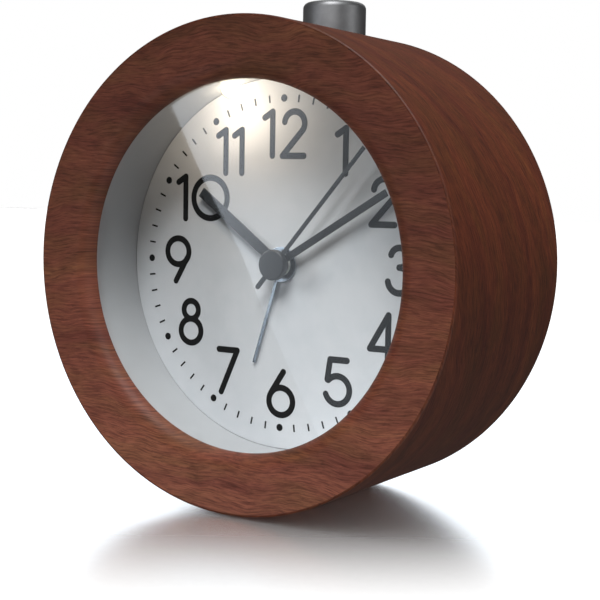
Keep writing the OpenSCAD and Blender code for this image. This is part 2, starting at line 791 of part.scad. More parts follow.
// Alarm wheel on the tube of the alarm hand
alarm_way = way(hands_at, alarm_at_stem);
module alarm_wheel() color("#e9c9a0") difference() {
    union() {
        at_depth(layer1) wheel(hand_module, alarm_n, wheel_t, 0);
        at_depth(alarm_hand_z - lift_gap / 2)
            cylinder(r = alarm_out, h = layer1 + wheel_t - alarm_hand_z + lift_gap / 2);
    }
    at_depth(alarm_hand_z - over) cylinder(r = alarm_in, h = layer2 - alarm_hand_z + 2 * over);
}

// Setting stem with its pinion, from the front plate to the knob
module stem(at, z, n, t, phase) {
    at_depth(z) translate(at) wheel(hand_module, n, t, phase);
    at_depth(plate_back + lift_gap) translate(at)
        cylinder(r = stem_r, h = knob_z + knob_h - knob_roof - plate_back - lift_gap);
    at_depth(plate_back - plate_t / 2 + lift_gap) translate(at) cylinder(r = pin_r, h = plate_t);
}
module time_stem() color("#e8e6df")
    stem(time_at, layer3, set_pinion_n, thick_t,
        mate(way(motion_at, time_at), motion_phase, motion_n, set_pinion_n));
module alarm_stem() color("#e8e6df")
    stem(alarm_at_stem, layer1, alarm_pinion_n, wheel_t,
        mate(alarm_way, 0, alarm_n, alarm_pinion_n));

// Ribbed knob pushed on the end of a stem
module knob(at) at_depth(knob_z) translate(at) difference() {
    union() {
        rotate_extrude() difference() {
            square([knob_r - rib_r / 2, knob_h]);
            translate([knob_r - rib_r / 2, knob_h]) mirror([1, 0]) mirror([0, 1]) corner_waste(rib_r);
        }
        for (i = [0 : rib_n - 1]) clocked(i * 360 / rib_n)
            translate([knob_r - rib_r, 0, 0]) cylinder(r = rib_r, h = knob_h - rib_short);
    }
    translate([0, 0, -over]) cylinder(r = stem_r + push_fit, h = knob_h - knob_roof + over + push_fit);
}
module time_knob() color("#222326") knob(time_at);
module alarm_knob() color("#222326") knob(alarm_at_stem);

// Circuit board on its two posts, with a drop of resin over the chip
module circuit_board() color("#2f5d3a") difference() {
    size = [board_x[1] - board_x[0], board_y[1] - board_y[0]];
    at_depth(board_z) {
        linear_extrude(board_t) translate([board_x[0], board_y[0]]) square(size);
        intersection() {
            translate([board_mid[0], board_mid[1] + chip_down, board_t - chip_r + chip_h]) sphere(chip_r);
            translate([board_x[0], board_y[0], board_t / 2]) cube([size[0], size[1], chip_r]);
        }
    }
    at_depth(board_z - over) for (x = board_posts)
        translate([x, board_mid[1]]) cylinder(r = board_pin_r + push_fit, h = board_t + 2 * over);
}

// Quartz crystal in its metal can, flat on the board
module quartz_crystal() color("silver") at_depth(board_z + board_t + can_r + push_fit)
    translate([board_mid[0] - can_len / 2, board_y[0] + can_in, 0]) rotate([0, 90, 0])
        cylinder(r = can_r, h = can_len);

// Buzzer in its ring on the inside of the cover
module buzzer() color("#2a2a2c") at_depth(cover_in - buzzer_h) translate(buzzer_at)
    rotate_extrude() difference() {
        square([buzzer_r, buzzer_h]);
        translate([0, buzzer_h / 2]) square([buzzer_hole_r, buzzer_h]);
        translate([buzzer_r, 0]) mirror([1, 0]) corner_waste(buzzer_round);
    }

// Outline of the two round wells of the knobs and the channel that joins them, grown by g
module knob_well(g) {
    channel = knob_well_r + g - well_waist;
    for (p = [time_at, alarm_at_stem]) translate(p) circle(knob_well_r + g);
    translate([alarm_at_stem[0], time_at[1] - channel])
        square([time_at[0] - alarm_at_stem[0], 2 * channel]);
}
// Outline of the battery bay, grown by g
module bay(g) translate([-bay_half - g, -bay_low - bay_h - g])
    square([2 * (bay_half + g), bay_h + 2 * g]);

// Moulded back: knob well, battery bay, switch slot, sound slots, and the shelf of the snooze switch
module back_cover() color("#1f2022") difference() {
    union() {
        at_depth(cover_in) cylinder(r = seat_r - loose_fit, h = cover_t);
        at_depth(knob_floor - well_floor_t)
            linear_extrude(cover_in - knob_floor + well_floor_t + eps) knob_well(bay_wall);
        at_depth(bay_floor - bay_wall)
            linear_extrude(cover_in - bay_floor + bay_wall + eps) bay(bay_wall);
        at_depth(cover_in - buzzer_ring_h) translate(buzzer_at)
            tube(buzzer_r + push_fit, buzzer_r + buzzer_ring, buzzer_ring_h + eps);
        on_button(shelf_top - shelf_t) translate([-shelf_half, -shelf_half, 0])
            cube([2 * shelf_half, button_back + shelf_half - (case_len - cover_in) + eps, shelf_t]);
    }
    at_depth(knob_floor) linear_extrude(case_len) knob_well(0);
    at_depth(bay_floor) linear_extrude(case_len) bay(0);
    at_depth(cover_out - door_t) linear_extrude(case_len) bay(door_lap);
    at_depth(cover_out - door_t) translate([0, -bay_top, 0]) cylinder(r = thumb_r, h = case_len);
    at_depth(knob_floor - well_floor_t - over) for (p = [time_at, alarm_at_stem])
        translate(p) cylinder(r = stem_r + run_gap, h = well_floor_t + 2 * over);
    at_depth(cover_in - over) {
        through = cover_t + 2 * over;
        translate([-slot_half, -switch_up - slot_h / 2, 0]) cube([2 * slot_half, slot_h, through]);
        for (i = [-2 : 2]) translate(buzzer_at + [-sound_half, i * sound_pitch - sound_w / 2])
            cube([2 * sound_half, sound_w, through]);
        for (a = cover_screw_clocks) translate(at_clock(cover_screw_r, a)) {
            cylinder(r = cover_screw_shank + push_fit, h = through);
            translate([0, 0, over + cover_t / 2]) cylinder(r = cover_screw_head + push_fit, h = cover_t);
        }
    }
}

// Four screws through the rim of the cover into the drum
module cover_screws() color("#55585c") for (a = cover_screw_clocks) {
    shank = cover_screw_len - screw_tip_gap;
    at_depth(cover_in + cover_t / 2) translate(at_clock(cover_screw_r, a)) {
        difference() {
            cylinder(r = cover_screw_head, h = cover_t / 2 - cover_screw_sunk);
            for (t = [0, 90]) rotate([0, 0, t]) translate([-cross_len / 2, -cross_w / 2, cross_floor])
                cube([cross_len, cross_w, cover_t]);
        }
        translate([0, 0, -shank]) cylinder(r = cover_screw_shank, h = shank + eps);
    }
}

// Lid of the battery bay with four short legs that grip inside its walls and a thumb tab
module battery_door() color("#26272a") difference() {
    grip = [6, 1, 2];
    grip_rows = [door_play, bay_h - door_play - grip[1]];
    groove = [6, 0.6, 0.4];
    groove_pitch = 1.4;
    groove_up = 2.4;
    union() {
        at_depth(cover_out - door_t + push_fit) linear_extrude(door_t - push_fit) {
            bay(door_lap - door_play);
            intersection() {
                translate([0, -bay_top]) circle(thumb_r - door_play);
                translate([-thumb_r, -bay_top - thumb_r]) square([2 * thumb_r, thumb_r + thumb_low]);
            }
        }
        at_depth(cover_out - door_t - grip[2])
            for (x = [-bay_half / 2, bay_half / 2], y = grip_rows)
                translate([x - grip[0] / 2, y - bay_low - bay_h, 0]) cube(grip + [0, 0, eps + push_fit]);
    }
    at_depth(cover_out - groove[2]) for (i = [-1 : 1])
        translate([-groove[0] / 2, i * groove_pitch - groove_up - bay_top - groove[1] / 2, 0])
            cube(groove + [0, 0, over]);
}

// One cell, its raised terminal to the right
module battery_cell() color("#3c4046") {
    cap_len = 1.3;
    cap_r = 2.7;
    at_depth(cell_depth) translate([cell_x - cell_len, -bay_mid, 0]) rotate([0, 90, 0]) {
        cylinder(r = cell_d / 2, h = cell_len - cap_len);
        cylinder(r = cap_r, h = cell_len);
    }
}

// Contact plate with a raised dimple for the terminal
module battery_plus() color("silver") at_depth(cell_depth) {
    translate([bay_half - contact_t, -bay_mid - contact_w / 2, -contact_h / 2])
        cube([contact_t, contact_w, contact_h]);
    translate([cell_x + touch_gap, -bay_mid, 0]) rotate([0, 90, 0])
        cylinder(r = contact_boss_r, h = bay_half - cell_x - 2 * touch_gap);
}

// Coned spring on a plate for the flat end of the cell
module battery_spring() color("silver") {
    back = -bay_half + contact_t;
    long = cell_x - cell_len - back - touch_gap + battery_wire / 2;
    at_depth(cell_depth) translate([-bay_half, -bay_mid - contact_h / 2, -contact_h / 2])
        cube([contact_t, contact_h, contact_h]);
    at_depth(cell_depth) translate([back - battery_wire / 2, -bay_mid, 0]) rotate([0, 90, 0])
        coil_spring(cone_wide, cone_narrow, long, battery_turns, battery_wire);
    echo(battery_spring_gap = helix_gap(cone_wide, cone_narrow, long, battery_turns, battery_wire));
}

// Slider of the alarm switch: a plate behind the cover and a tab through its slot
module alarm_switch() color("#c8cacc") at_depth(cover_in)
    translate([-switch_travel / 2, -switch_up, 0]) {
        translate([-slide_half, -slide_h / 2, -slide_t - lift_gap])
            cube([2 * slide_half, slide_h, slide_t]);
        difference() {
            translate([-tab_w / 2, -tab_h / 2, -lift_gap - eps])
                cube([tab_w, tab_h, cover_t + lift_gap + tab_proud]);
            for (i = [-1 : 1])
                translate([i * tab_pitch - tab_groove / 2, -tab_h, cover_t + tab_proud - tab_groove_deep])
                    cube([tab_groove, 2 * tab_h, over]);
        }
    }

// Housing of the alarm switch on the inside of the cover
module switch_housing() color("#3a3a3c") at_depth(cover_in - housing_deep)
    translate([0, -switch_up, 0]) difference() {
        inner = [2 * housing_half, slide_h + 2 * loose_fit, housing_deep];
        outer = inner + [2 * housing_wall, 2 * housing_wall, 0];
        translate([-outer[0] / 2, -outer[1] / 2, 0]) cube(outer);
        translate([-inner[0] / 2, -inner[1] / 2, housing_deep - slide_t - 2 * lift_gap]) cube(inner);
    }

// Hollow metal button on a long stem
module snooze_button() color("#8b8f94") {
    on_button(0) rotate_extrude() difference() {
        translate([0, button_skirt]) square([button_r, button_top - button_skirt]);
        translate([button_stem_r, button_skirt - over])
            square([button_r - button_wall - button_stem_r, button_roof - button_skirt + over]);
        translate([button_r, button_top]) mirror([1, 0]) mirror([0, 1]) corner_waste(button_round);
    }
    on_button(stem_low) cylinder(r = button_stem_r, h = button_roof - stem_low + eps);
}

// Flanged bush that guides the stem in the wall of the drum
module button_bush() color("#e8e6df") on_button(0) rotate_extrude() difference() {
    union() {
        translate([0, bush_low]) square([bush_r, button_floor - bush_low + eps]);
        translate([0, button_floor]) square([bush_flange_r, bush_flange_t]);
    }
    translate([0, bush_low - over])
        square([button_stem_r + run_gap, button_floor - bush_low + bush_flange_t + 2 * over]);
}

// Return spring between the bush and the roof of the button
module button_spring() color("silver") {
    long = button_roof - button_floor - bush_flange_t;
    on_button(button_floor + bush_flange_t) coil_spring(spring_r, spring_r, long, button_turns, spring_wire);
    echo(button_spring_gap = helix_gap(spring_r, spring_r, long, button_turns, spring_wire));
}

// Snap ring that stops the stem under the bush
module button_clip() color("silver") on_button(bush_low - clip_t - seat_gap)
    tube(button_stem_r + push_fit, clip_r, clip_t);

// Push switch on the shelf of the cover, under the stem
module snooze_switch() color("#2a2a2c") {
    on_button(shelf_top) translate([-switch_w / 2, -switch_w / 2, 0])
        cube([switch_w, switch_w, switch_h]);
    on_button(shelf_top + switch_h - eps) cylinder(r = plunger_r, h = plunger_h + eps);
}

wood_case();
foot_strips();
front_lens();
dial_cup();
dial_plate();
dial_lamp();
hour_hand();
minute_hand();
second_hand();
alarm_hand();
front_plate();
rear_plate();
movement_screws();
stator();
drive_coil();
rotor();
fifth_wheel();
second_wheel();
third_wheel();
centre_wheel();
cannon_pinion();
motion_wheel();
hour_wheel();
alarm_wheel();
time_stem();
time_knob();
alarm_stem();
alarm_knob();
circuit_board();
quartz_crystal();
buzzer();
back_cover();
cover_screws();
battery_door();
battery_cell();
battery_plus();
battery_spring();
alarm_switch();
switch_housing();
snooze_button();
button_bush();
button_spring();
button_clip();
snooze_switch();
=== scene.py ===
import math

import bmesh
import bpy
from mathutils import Matrix, Vector, geometry


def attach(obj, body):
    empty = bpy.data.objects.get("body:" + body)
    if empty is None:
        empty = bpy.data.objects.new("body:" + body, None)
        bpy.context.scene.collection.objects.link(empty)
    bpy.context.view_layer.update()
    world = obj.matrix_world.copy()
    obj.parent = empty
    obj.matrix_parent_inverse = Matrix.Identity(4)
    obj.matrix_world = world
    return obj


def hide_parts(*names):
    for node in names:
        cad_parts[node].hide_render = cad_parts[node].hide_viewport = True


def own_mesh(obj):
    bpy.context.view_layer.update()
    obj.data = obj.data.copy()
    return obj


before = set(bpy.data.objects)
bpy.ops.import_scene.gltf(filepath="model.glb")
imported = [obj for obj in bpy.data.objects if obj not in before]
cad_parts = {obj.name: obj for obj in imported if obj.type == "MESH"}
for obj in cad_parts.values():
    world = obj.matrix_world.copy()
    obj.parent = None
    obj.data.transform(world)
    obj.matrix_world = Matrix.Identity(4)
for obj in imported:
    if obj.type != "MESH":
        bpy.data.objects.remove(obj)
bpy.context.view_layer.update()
scene = bpy.context.scene

# Drum: a case turned from reddish hardwood, veneered round its side and finished in satin lacquer.
# The front ring rolls over into the window opening; a step at the back takes the cover,
# and a counterbore on top takes the button. Sizes are in mm.
MM = 0.001
AXIS_H = 55.9
CASE_LEN = 54.0
CASE_R = 55.5
OPEN_R = 41.8
BORE_R = 48.5
SEAT_R = 52.1
RING_T = 4.2
RING_ROUND = 3.6
EDGE_ROUND = 0.5
COVER_IN = 51.8
BUTTON_Y = 16.4
WELL_R = 7.95
WELL_FLOOR = 106.6
BUSH_HOLE_R = 3.27
CUT_TOP = 130.0
SIDE_STEPS = 8
TO_AXIS = (Matrix.Translation((0, -CASE_LEN / 2 * MM, AXIS_H * MM))
           @ Matrix.Rotation(-math.pi / 2, 4, "X"))
TO_BUTTON = Matrix.Translation((0, BUTTON_Y * MM, 0))


def arc(cx, cy, rx, ry, start, end, steps=16):
    """Points on an ellipse arc, angles in degrees anticlockwise from +x."""
    turn = [math.radians(start + (end - start) * i / steps) for i in range(steps + 1)]
    return [(cx + rx * math.cos(a), cy + ry * math.sin(a)) for a in turn]


def put(name, mesh):
    """A scene object with this mesh."""
    obj = bpy.data.objects.new(name, mesh)
    scene.collection.objects.link(obj)
    return obj


def smooth(mesh, angle=35):
    """Smooth shading with creases above an angle in degrees."""
    mesh.shade_smooth()
    mesh.set_sharp_from_angle(angle=math.radians(angle))


def lathe(name, profile, place, steps):
    """A closed profile of (radius, height) in mm, turned about a local z axis."""
    bm = bmesh.new()
    rings = []
    for i in range(steps):
        a = 2 * math.pi * i / steps
        rings.append([bm.verts.new(place @ (Vector((r * math.sin(a), r * math.cos(a), h)) * MM))
                      for r, h in profile])
    for i in range(steps):
        here, there = rings[i], rings[(i + 1) % steps]
        for k in range(len(profile)):
            n = (k + 1) % len(profile)
            bm.faces.new((here[k], here[n], there[n], there[k]))
    bmesh.ops.remove_doubles(bm, verts=bm.verts, dist=1e-7)
    bmesh.ops.dissolve_degenerate(bm, dist=1e-7, edges=bm.edges)
    bmesh.ops.recalc_face_normals(bm, faces=bm.faces)
    mesh = bpy.data.meshes.new(name)
    bm.to_mesh(mesh)
    bm.free()
    smooth(mesh)
    return put(name, mesh)


def baked(obj):
    """Applies an object's modifiers to its mesh."""
    seen = obj.evaluated_get(bpy.context.evaluated_depsgraph_get())
    made = bpy.data.meshes.new_from_object(seen)
    obj.modifiers.clear()
    obj.data = made
    return obj


edge_r = CASE_R - EDGE_ROUND
side_run = CASE_LEN - 2 * EDGE_ROUND
drum = lathe("drum", [
    *arc(edge_r, EDGE_ROUND, EDGE_ROUND, EDGE_ROUND, -90, 0, 8),
    *[(CASE_R, EDGE_ROUND + side_run * i / SIDE_STEPS) for i in range(1, SIDE_STEPS)],
    *arc(edge_r, CASE_LEN - EDGE_ROUND, EDGE_ROUND, EDGE_ROUND, 0, 90, 8),
    (SEAT_R, CASE_LEN), (SEAT_R, COVER_IN), (BORE_R, COVER_IN), (BORE_R, RING_T), (OPEN_R, RING_T),
    *arc(OPEN_R + RING_ROUND, RING_ROUND, RING_ROUND, RING_ROUND, 180, 270, 20)], TO_AXIS, 256)
for radius, low in ((WELL_R, WELL_FLOOR), (BUSH_HOLE_R, AXIS_H)):
    cutter = lathe("cutter", [(0, low), (radius, low), (radius, CUT_TOP), (0, CUT_TOP)],
                   TO_BUTTON, 96)
    cut = drum.modifiers.new("cut", "BOOLEAN")
    cut.object = cutter
    cut.solver = "EXACT"
    baked(drum)
    bpy.data.objects.remove(cutter)
smooth(drum.data)

# Grain coordinates in mm, along the grain and then across it. They lie flat on the ring. On the
# side they are a wrap with a skew, moved off so that the side shares no figure with the ring.
GRAIN_SKEW = math.radians(16)
SIDE_OFFSET = 200.0
ring_back = (-CASE_LEN / 2 + RING_T) * MM
grain = drum.data.uv_layers.new(name="grain")
for face in drum.data.polygons:
    middle = face.center
    reach = math.hypot(middle.x, middle.z - AXIS_H * MM)
    on_ring = middle.y < ring_back and reach < edge_r * MM
    turned = math.atan2(middle.x, middle.z - AXIS_H * MM)
    for corner in face.loop_indices:
        at = drum.data.vertices[drum.data.loops[corner].vertex_index].co
        if on_ring:
            grain.data[corner].uv = (at.x / MM, at.z / MM - AXIS_H)
            continue
        angle = math.atan2(at.x, at.z - AXIS_H * MM)
        angle += 2 * math.pi * round((turned - angle) / (2 * math.pi))
        along, across = angle * CASE_R, at.y / MM + SIDE_OFFSET
        grain.data[corner].uv = (along * math.cos(GRAIN_SKEW) + across * math.sin(GRAIN_SKEW),
                                 across * math.cos(GRAIN_SKEW) - along * math.sin(GRAIN_SKEW))


def linear(code):
    """Linear RGBA of an sRGB hex code."""
    part = [int(code[i:i + 2], 16) / 255 for i in (1, 3, 5)]
    return [c / 12.92 if c <= 0.04045 else ((c + 0.055) / 1.055) ** 2.4 for c in part] + [1.0]


def add(tree, kind, links=None, stops=(), **settings):
    """Adds a node, sets its properties, links or sets its inputs, and fills a ramp's colour stops."""
    made = tree.nodes.new(kind)
    for key, value in settings.items():
        setattr(made, key, value)
    for key, value in (links or {}).items():
        if isinstance(value, bpy.types.NodeSocket):
            tree.links.new(value, made.inputs[key])
        else:
            made.inputs[key].default_value = value
    if stops:
        band = made.color_ramp.elements
        while len(band) < len(stops):
            band.new(1.0)
        for element, (at, code) in zip(band, stops):
            element.position = at
            element.color = linear(code)
    return made


def material(name):
    """An empty node material: (material, tree)."""
    made = bpy.data.materials.new(name)
    made.use_nodes = True
    made.node_tree.nodes.clear()
    return made, made.node_tree


def streaks(tree, vector, along, across, detail, distortion=0.0):
    """Noise drawn out along the grain; sizes in mm."""
    sized = add(tree, "ShaderNodeMapping",
                {"Vector": vector, "Scale": (1 / along, 1 / across, 1.0)})
    return add(tree, "ShaderNodeTexNoise", {
        "Vector": sized.outputs["Vector"], "Scale": 1.0, "Detail": detail,
        "Roughness": 0.6, "Distortion": distortion}).outputs["Fac"]


def dress(obj, body, paint, slot, *nodes):
    """Gives a piece its material, its body and the nodes that it stands for; the slot argument is not
    used.
    """
    obj.data.materials.clear()
    obj.data.materials.append(paint)
    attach(obj, body)
    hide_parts(*nodes)


# Open-pored reddish hardwood, sanded and sprayed with satin lacquer. To the eye: slow colour bands,
# a wavy figure, fine fibres and short dark pores, under a soft gloss that follows the figure,
# and painted shade that darkens the ring towards its top.
# Fibres and pores are drawn coarser than real ones, so that they show.
wood, tree = material("lacquered_reddish_wood")
place = add(tree, "ShaderNodeUVMap", uv_map="grain").outputs["UV"]
warp = add(tree, "ShaderNodeTexNoise", {"Vector": place, "Scale": 0.045, "Detail": 2.0})
swayed = add(tree, "ShaderNodeVectorMath",
             {0: warp.outputs["Color"], 1: (3.0, 7.0, 0.0), 2: place}, operation="MULTIPLY_ADD")
curl = add(tree, "ShaderNodeTexNoise", {"Vector": place, "Scale": 0.09, "Detail": 1.0})
bent = add(tree, "ShaderNodeVectorMath",
           {0: curl.outputs["Color"], 1: (0.0, 1.8, 0.0), 2: swayed.outputs[0]},
           operation="MULTIPLY_ADD").outputs[0]
bands = streaks(tree, bent, 80, 7, 3.0, 0.4)
flush = streaks(tree, bent, 24, 6, 2.0, 0.3)
figure = streaks(tree, bent, 5, 0.42, 3.0, 0.3)
fibres = streaks(tree, bent, 3, 0.2, 3.0)
pores = streaks(tree, bent, 1.6, 0.15, 2.0)
red = add(tree, "ShaderNodeValToRGB", {"Fac": bands}, stops=[
    (0.3, "#6c382b"), (0.45, "#7d4636"), (0.57, "#884f3c"), (0.72, "#925d42")])
brown = add(tree, "ShaderNodeMapRange", {
    "Value": flush, "From Min": 0.42, "From Max": 0.68, "To Min": 0.0, "To Max": 0.6})
tone = add(tree, "ShaderNodeMix",
           {"Factor": brown.outputs[0], 6: red.outputs["Color"], 7: linear("#714c2d")},
           data_type="RGBA").outputs[2]
spread = add(tree, "ShaderNodeSeparateXYZ", {0: place}).outputs["Y"]
wrap = add(tree, "ShaderNodeMapRange", {"Value": spread, "From Min": 90.0, "From Max": 110.0})
side_tint = add(tree, "ShaderNodeValToRGB", {"Fac": wrap.outputs[0]}, stops=[
    (0.0, "#ffffff"), (1.0, "#fae0b6")])
# Painted shade: the ring is left lightest at its bottom and darkens towards its top, standing in for
# bounce light from the table; the side, beyond the ramp, takes its darkest step all over.
painted_shade_height = add(tree, "ShaderNodeMapRange", {"Value": spread, "From Min": -50.0, "From Max": 50.0})
painted_shade_tint = add(tree, "ShaderNodeValToRGB", {"Fac": painted_shade_height.outputs[0]}, stops=[
    (0.0, "#ffffff"), (0.35, "#f0ecea"), (0.6, "#d2cecc"), (1.0, "#bcb8b6")])
lines = add(tree, "ShaderNodeValToRGB", {"Fac": figure}, stops=[
    (0.34, "#98857b"), (0.5, "#e0d8d2"), (0.66, "#ffffff")])
fine = add(tree, "ShaderNodeValToRGB", {"Fac": fibres}, stops=[
    (0.3, "#9a8a80"), (0.62, "#ffffff")])
dark = add(tree, "ShaderNodeValToRGB", {"Fac": pores}, stops=[
    (0.3, "#4a3a34"), (0.4, "#ffffff")])
for layer, strength in ((side_tint, 1.0), (painted_shade_tint, 1.0), (lines, 0.8), (fine, 0.6), (dark, 0.55)):
    tone = add(tree, "ShaderNodeMix",
               {"Factor": strength, 6: tone, 7: layer.outputs["Color"]},
               data_type="RGBA", blend_type="MULTIPLY").outputs[2]
gloss = add(tree, "ShaderNodeMapRange", {"Value": figure, "To Min": 0.66, "To Max": 0.52})
bump = add(tree, "ShaderNodeBump", {"Height": fibres, "Strength": 0.08, "Distance": 0.06 * MM})
lacquer = add(tree, "ShaderNodeBsdfPrincipled", {
    "Base Color": tone, "Roughness": gloss.outputs[0], "Normal": bump.outputs[0], "IOR": 1.5,
    "Specular IOR Level": 0.35})
add(tree, "ShaderNodeOutputMaterial", {"Surface": lacquer.outputs[0]})
dress(drum, "case", wood, "reddish_wood", "wood_case")


# Foot strips: two low strips moulded in dark rubber.
# They are glued under the drum on both sides of its lowest line, so that it can't roll.
def softened(node, width, angle=30, steps=2):
    """A copy of a CAD node, its flats merged, its edges rounded by width mm and shaded smooth."""
    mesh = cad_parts[node].data.copy()
    mesh.name = node + "_soft"
    bm = bmesh.new()
    bm.from_mesh(mesh)
    bmesh.ops.remove_doubles(bm, verts=bm.verts, dist=2e-6)
    if width:
        bmesh.ops.dissolve_limit(bm, angle_limit=math.radians(0.5), verts=bm.verts, edges=bm.edges)
        edges = [e for e in bm.edges
                 if len(e.link_faces) == 2 and e.calc_face_angle(0) > math.radians(angle)]
        bmesh.ops.bevel(bm, geom=edges, offset=width * MM, offset_type="OFFSET", segments=steps,
                        profile=0.5, affect="EDGES", clamp_overlap=True)
    bmesh.ops.recalc_face_normals(bm, faces=bm.faces)
    bm.to_mesh(mesh)
    bm.free()
    if "custom_normal" in mesh.attributes:
        mesh.attributes.remove(mesh.attributes["custom_normal"])
    smooth(mesh, 40)
    obj = put(node + "_soft", mesh)
    if width:
        weigh = obj.modifiers.new("weigh", "WEIGHTED_NORMAL")
        weigh.mode = "FACE_AREA"
        weigh.weight = 100
        weigh.keep_sharp = True
        baked(obj)
    return obj


def moulded(name, low, high, roughness, grain_mm, depth_mm=0.01, metallic=0.0, shine=0.5):
    """A moulded or rolled finish: two close tones in clouds, a fine grain in the gloss and bump."""
    paint, tree = material(name)
    where = add(tree, "ShaderNodeTexCoord").outputs["Object"]
    cloud = add(tree, "ShaderNodeTexNoise",
                {"Vector": where, "Scale": 1 / (30 * grain_mm * MM), "Detail": 3.0})
    skin = add(tree, "ShaderNodeTexNoise",
               {"Vector": where, "Scale": 1 / (grain_mm * MM), "Detail": 2.0}).outputs["Fac"]
    colour = add(tree, "ShaderNodeValToRGB", {"Fac": cloud.outputs["Fac"]},
                 stops=[(0.35, low), (0.65, high)])
    rough = add(tree, "ShaderNodeMapRange",
                {"Value": skin, "To Min": roughness - 0.06, "To Max": roughness + 0.06})
    bump = add(tree, "ShaderNodeBump",
               {"Height": skin, "Strength": 0.3, "Distance": depth_mm * MM})
    shader = add(tree, "ShaderNodeBsdfPrincipled", {
        "Base Color": colour.outputs["Color"], "Roughness": rough.outputs[0],
        "Normal": bump.outputs[0], "Metallic": metallic})
    if not metallic:
        shader.inputs["IOR"].default_value = 1.5
        shader.inputs["Specular IOR Level"].default_value = shine
    add(tree, "ShaderNodeOutputMaterial", {"Surface": shader.outputs[0]})
    return paint


# Moulded rubber: near black and dull, with a fine tooth.
rubber = moulded("dark_moulded_rubber", "#1d1a19", "#292423", 0.7, 0.25, 0.02)
dress(softened("foot_strips", 0.25), "case", rubber, "dark_rubber", "foot_strips")

# Window: a disc of flat float glass with a ground edge.
# It is held between the front ring and the rim of the white cup.
# Float glass: clear, faintly green, and seen only by the mirror image on its front face.
glass, tree = material("clear_float_glass")
behind = add(tree, "ShaderNodeNewGeometry").outputs["Backfacing"]
shine = add(tree, "ShaderNodeFresnel", {"IOR": 1.5})
front_only = add(tree, "ShaderNodeMath", {0: 1.0, 1: behind}, operation="SUBTRACT")
share = add(tree, "ShaderNodeMath", {0: shine.outputs[0], 1: front_only.outputs[0]},
            operation="MULTIPLY")
clear = add(tree, "ShaderNodeBsdfTransparent", {"Color": (0.96, 0.965, 0.962, 1.0)})
mirror = add(tree, "ShaderNodeBsdfGlossy", {"Color": (1.0, 1.0, 1.0, 1.0), "Roughness": 0.02})
both = add(tree, "ShaderNodeMixShader",
           {0: share.outputs[0], 1: clear.outputs[0], 2: mirror.outputs[0]})
add(tree, "ShaderNodeOutputMaterial", {"Surface": both.outputs[0]})
dress(softened("front_lens", 0), "case", glass, "clear_glass", "front_lens")

# Dial cup: a cup moulded in white plastic, whose wall shows between the window and the dial.
# It sits in the drum's bore, and its legs are held by the back cover.
# Gloss white plastic from a polished mould: even, with soft mirror streaks along the wall.
cup_white = moulded("white_gloss_moulded_plastic", "#b4b6b9", "#babcbf", 0.14, 0.6, 0.001)
dress(softened("dial_cup", 0), "case", cup_white, "white_plastic", "dial_cup")

# Dial: a white card with a matt coat, screen printed in black with numerals, dots and ticks.
# It lies on the floor of the cup, clamped by the movement behind it.
DIAL_DEPTH = 21.4
INK_T = 0.03
STROKE = 1.5
CAP = 10.2
# Coated card: bright, dull and nearly even, with a faint paper tooth.
card = moulded("white_coated_card", "#dde1e6", "#e2e5ea", 0.62, 0.12, 0.003)
dress(softened("dial_plate", 0), "case", card, "dial_white", "dial_plate")


def one(x, base):
    """A figure 1: stem and flag."""
    return [[(x, base), (x, base + CAP), (x - 2.2, base + CAP - 1.35)]]


def two(x, base):
    """A figure 2: bowl, diagonal and foot."""
    bowl = arc(x, base + CAP - 2.75, 2.75, 2.75, 172, -32, 24)
    return [bowl + [(x - 3.25, base), (x + 2.6, base)]]


def ring(x, y, rx, ry):
    """A closed oval."""
    return arc(x, y, rx, ry, 0, 360, 40)


# The numerals' strokes in mm from the dial's middle, clockwise from 12.
numerals = [
    *one(-3.1, 25.35), *two(2.97, 25.3),
    *one(16.78, 21.3),
    *two(27.0, 10.0),
    arc(31.1, 2.8, 2.2, 2.2, 165, -90, 24) + arc(31.1, -2.25, 2.87, 2.87, 90, -172, 28),
    [(28.65, -20.4), (28.65, -10.2), (24.0, -17.95), (30.4, -17.95)],
    [(18.1, -21.3), (13.65, -21.3), (12.95, -26.0)] + arc(15.64, -28.29, 3.25, 3.25, 138, -160, 28),
    ring(0.22, -32.4, 3.33, 3.26), [(0.85, -25.35), (-2.65, -30.7)],
    [(-17.8, -21.3), (-12.45, -21.3), (-17.05, -31.65)],
    ring(-26.37, -17.44, 3.04, 2.96), ring(-26.36, -12.29, 2.18, 2.19),
    ring(-30.47, 1.93, 3.27, 3.2), [(-27.8, 0.3), (-31.1, -5.35)],
    *one(-28.3, 10.08), ring(-20.87, 15.19, 4.97, 4.89),
    *one(-16.4, 21.25), *one(-11.74, 21.25)]
# Each stroke is a run of bars with a disc at every point; one triangulation joins them all.
DISC_POINTS = 20
corners, faces = [], []
for path in numerals:
    for k, (x, y) in enumerate(path):
        faces.append(range(len(corners), len(corners) + DISC_POINTS))
        corners += [Vector(p) for p in arc(x, y, STROKE / 2, STROKE / 2, 0, 342, DISC_POINTS - 1)]
        if k:
            back = Vector(path[k - 1])
            run = Vector((x, y)) - back
            if run.length < 1e-6:
                continue
            side = Vector((-run.y, run.x)).normalized() * STROKE / 2
            faces.append(range(len(corners), len(corners) + 4))
            corners += [back - side, back + run - side, back + run + side, back + side]
flat_verts, _, flat_faces, _, _, covered = geometry.delaunay_2d_cdt(
    corners, [], [list(f) for f in faces], 0, 1e-5)
bm = bmesh.new()
ink_y = (DIAL_DEPTH - CASE_LEN / 2) * MM
points = [bm.verts.new((v.x * MM, ink_y, (v.y + AXIS_H) * MM)) for v in flat_verts]
for f, source in zip(flat_faces, covered):
    if source:
        bm.faces.new([points[i] for i in f])
bmesh.ops.delete(bm, geom=[v for v in bm.verts if not v.link_faces], context="VERTS")
bmesh.ops.dissolve_limit(bm, angle_limit=math.radians(1), verts=bm.verts, edges=bm.edges)
raised = bmesh.ops.extrude_face_region(bm, geom=bm.faces[:])
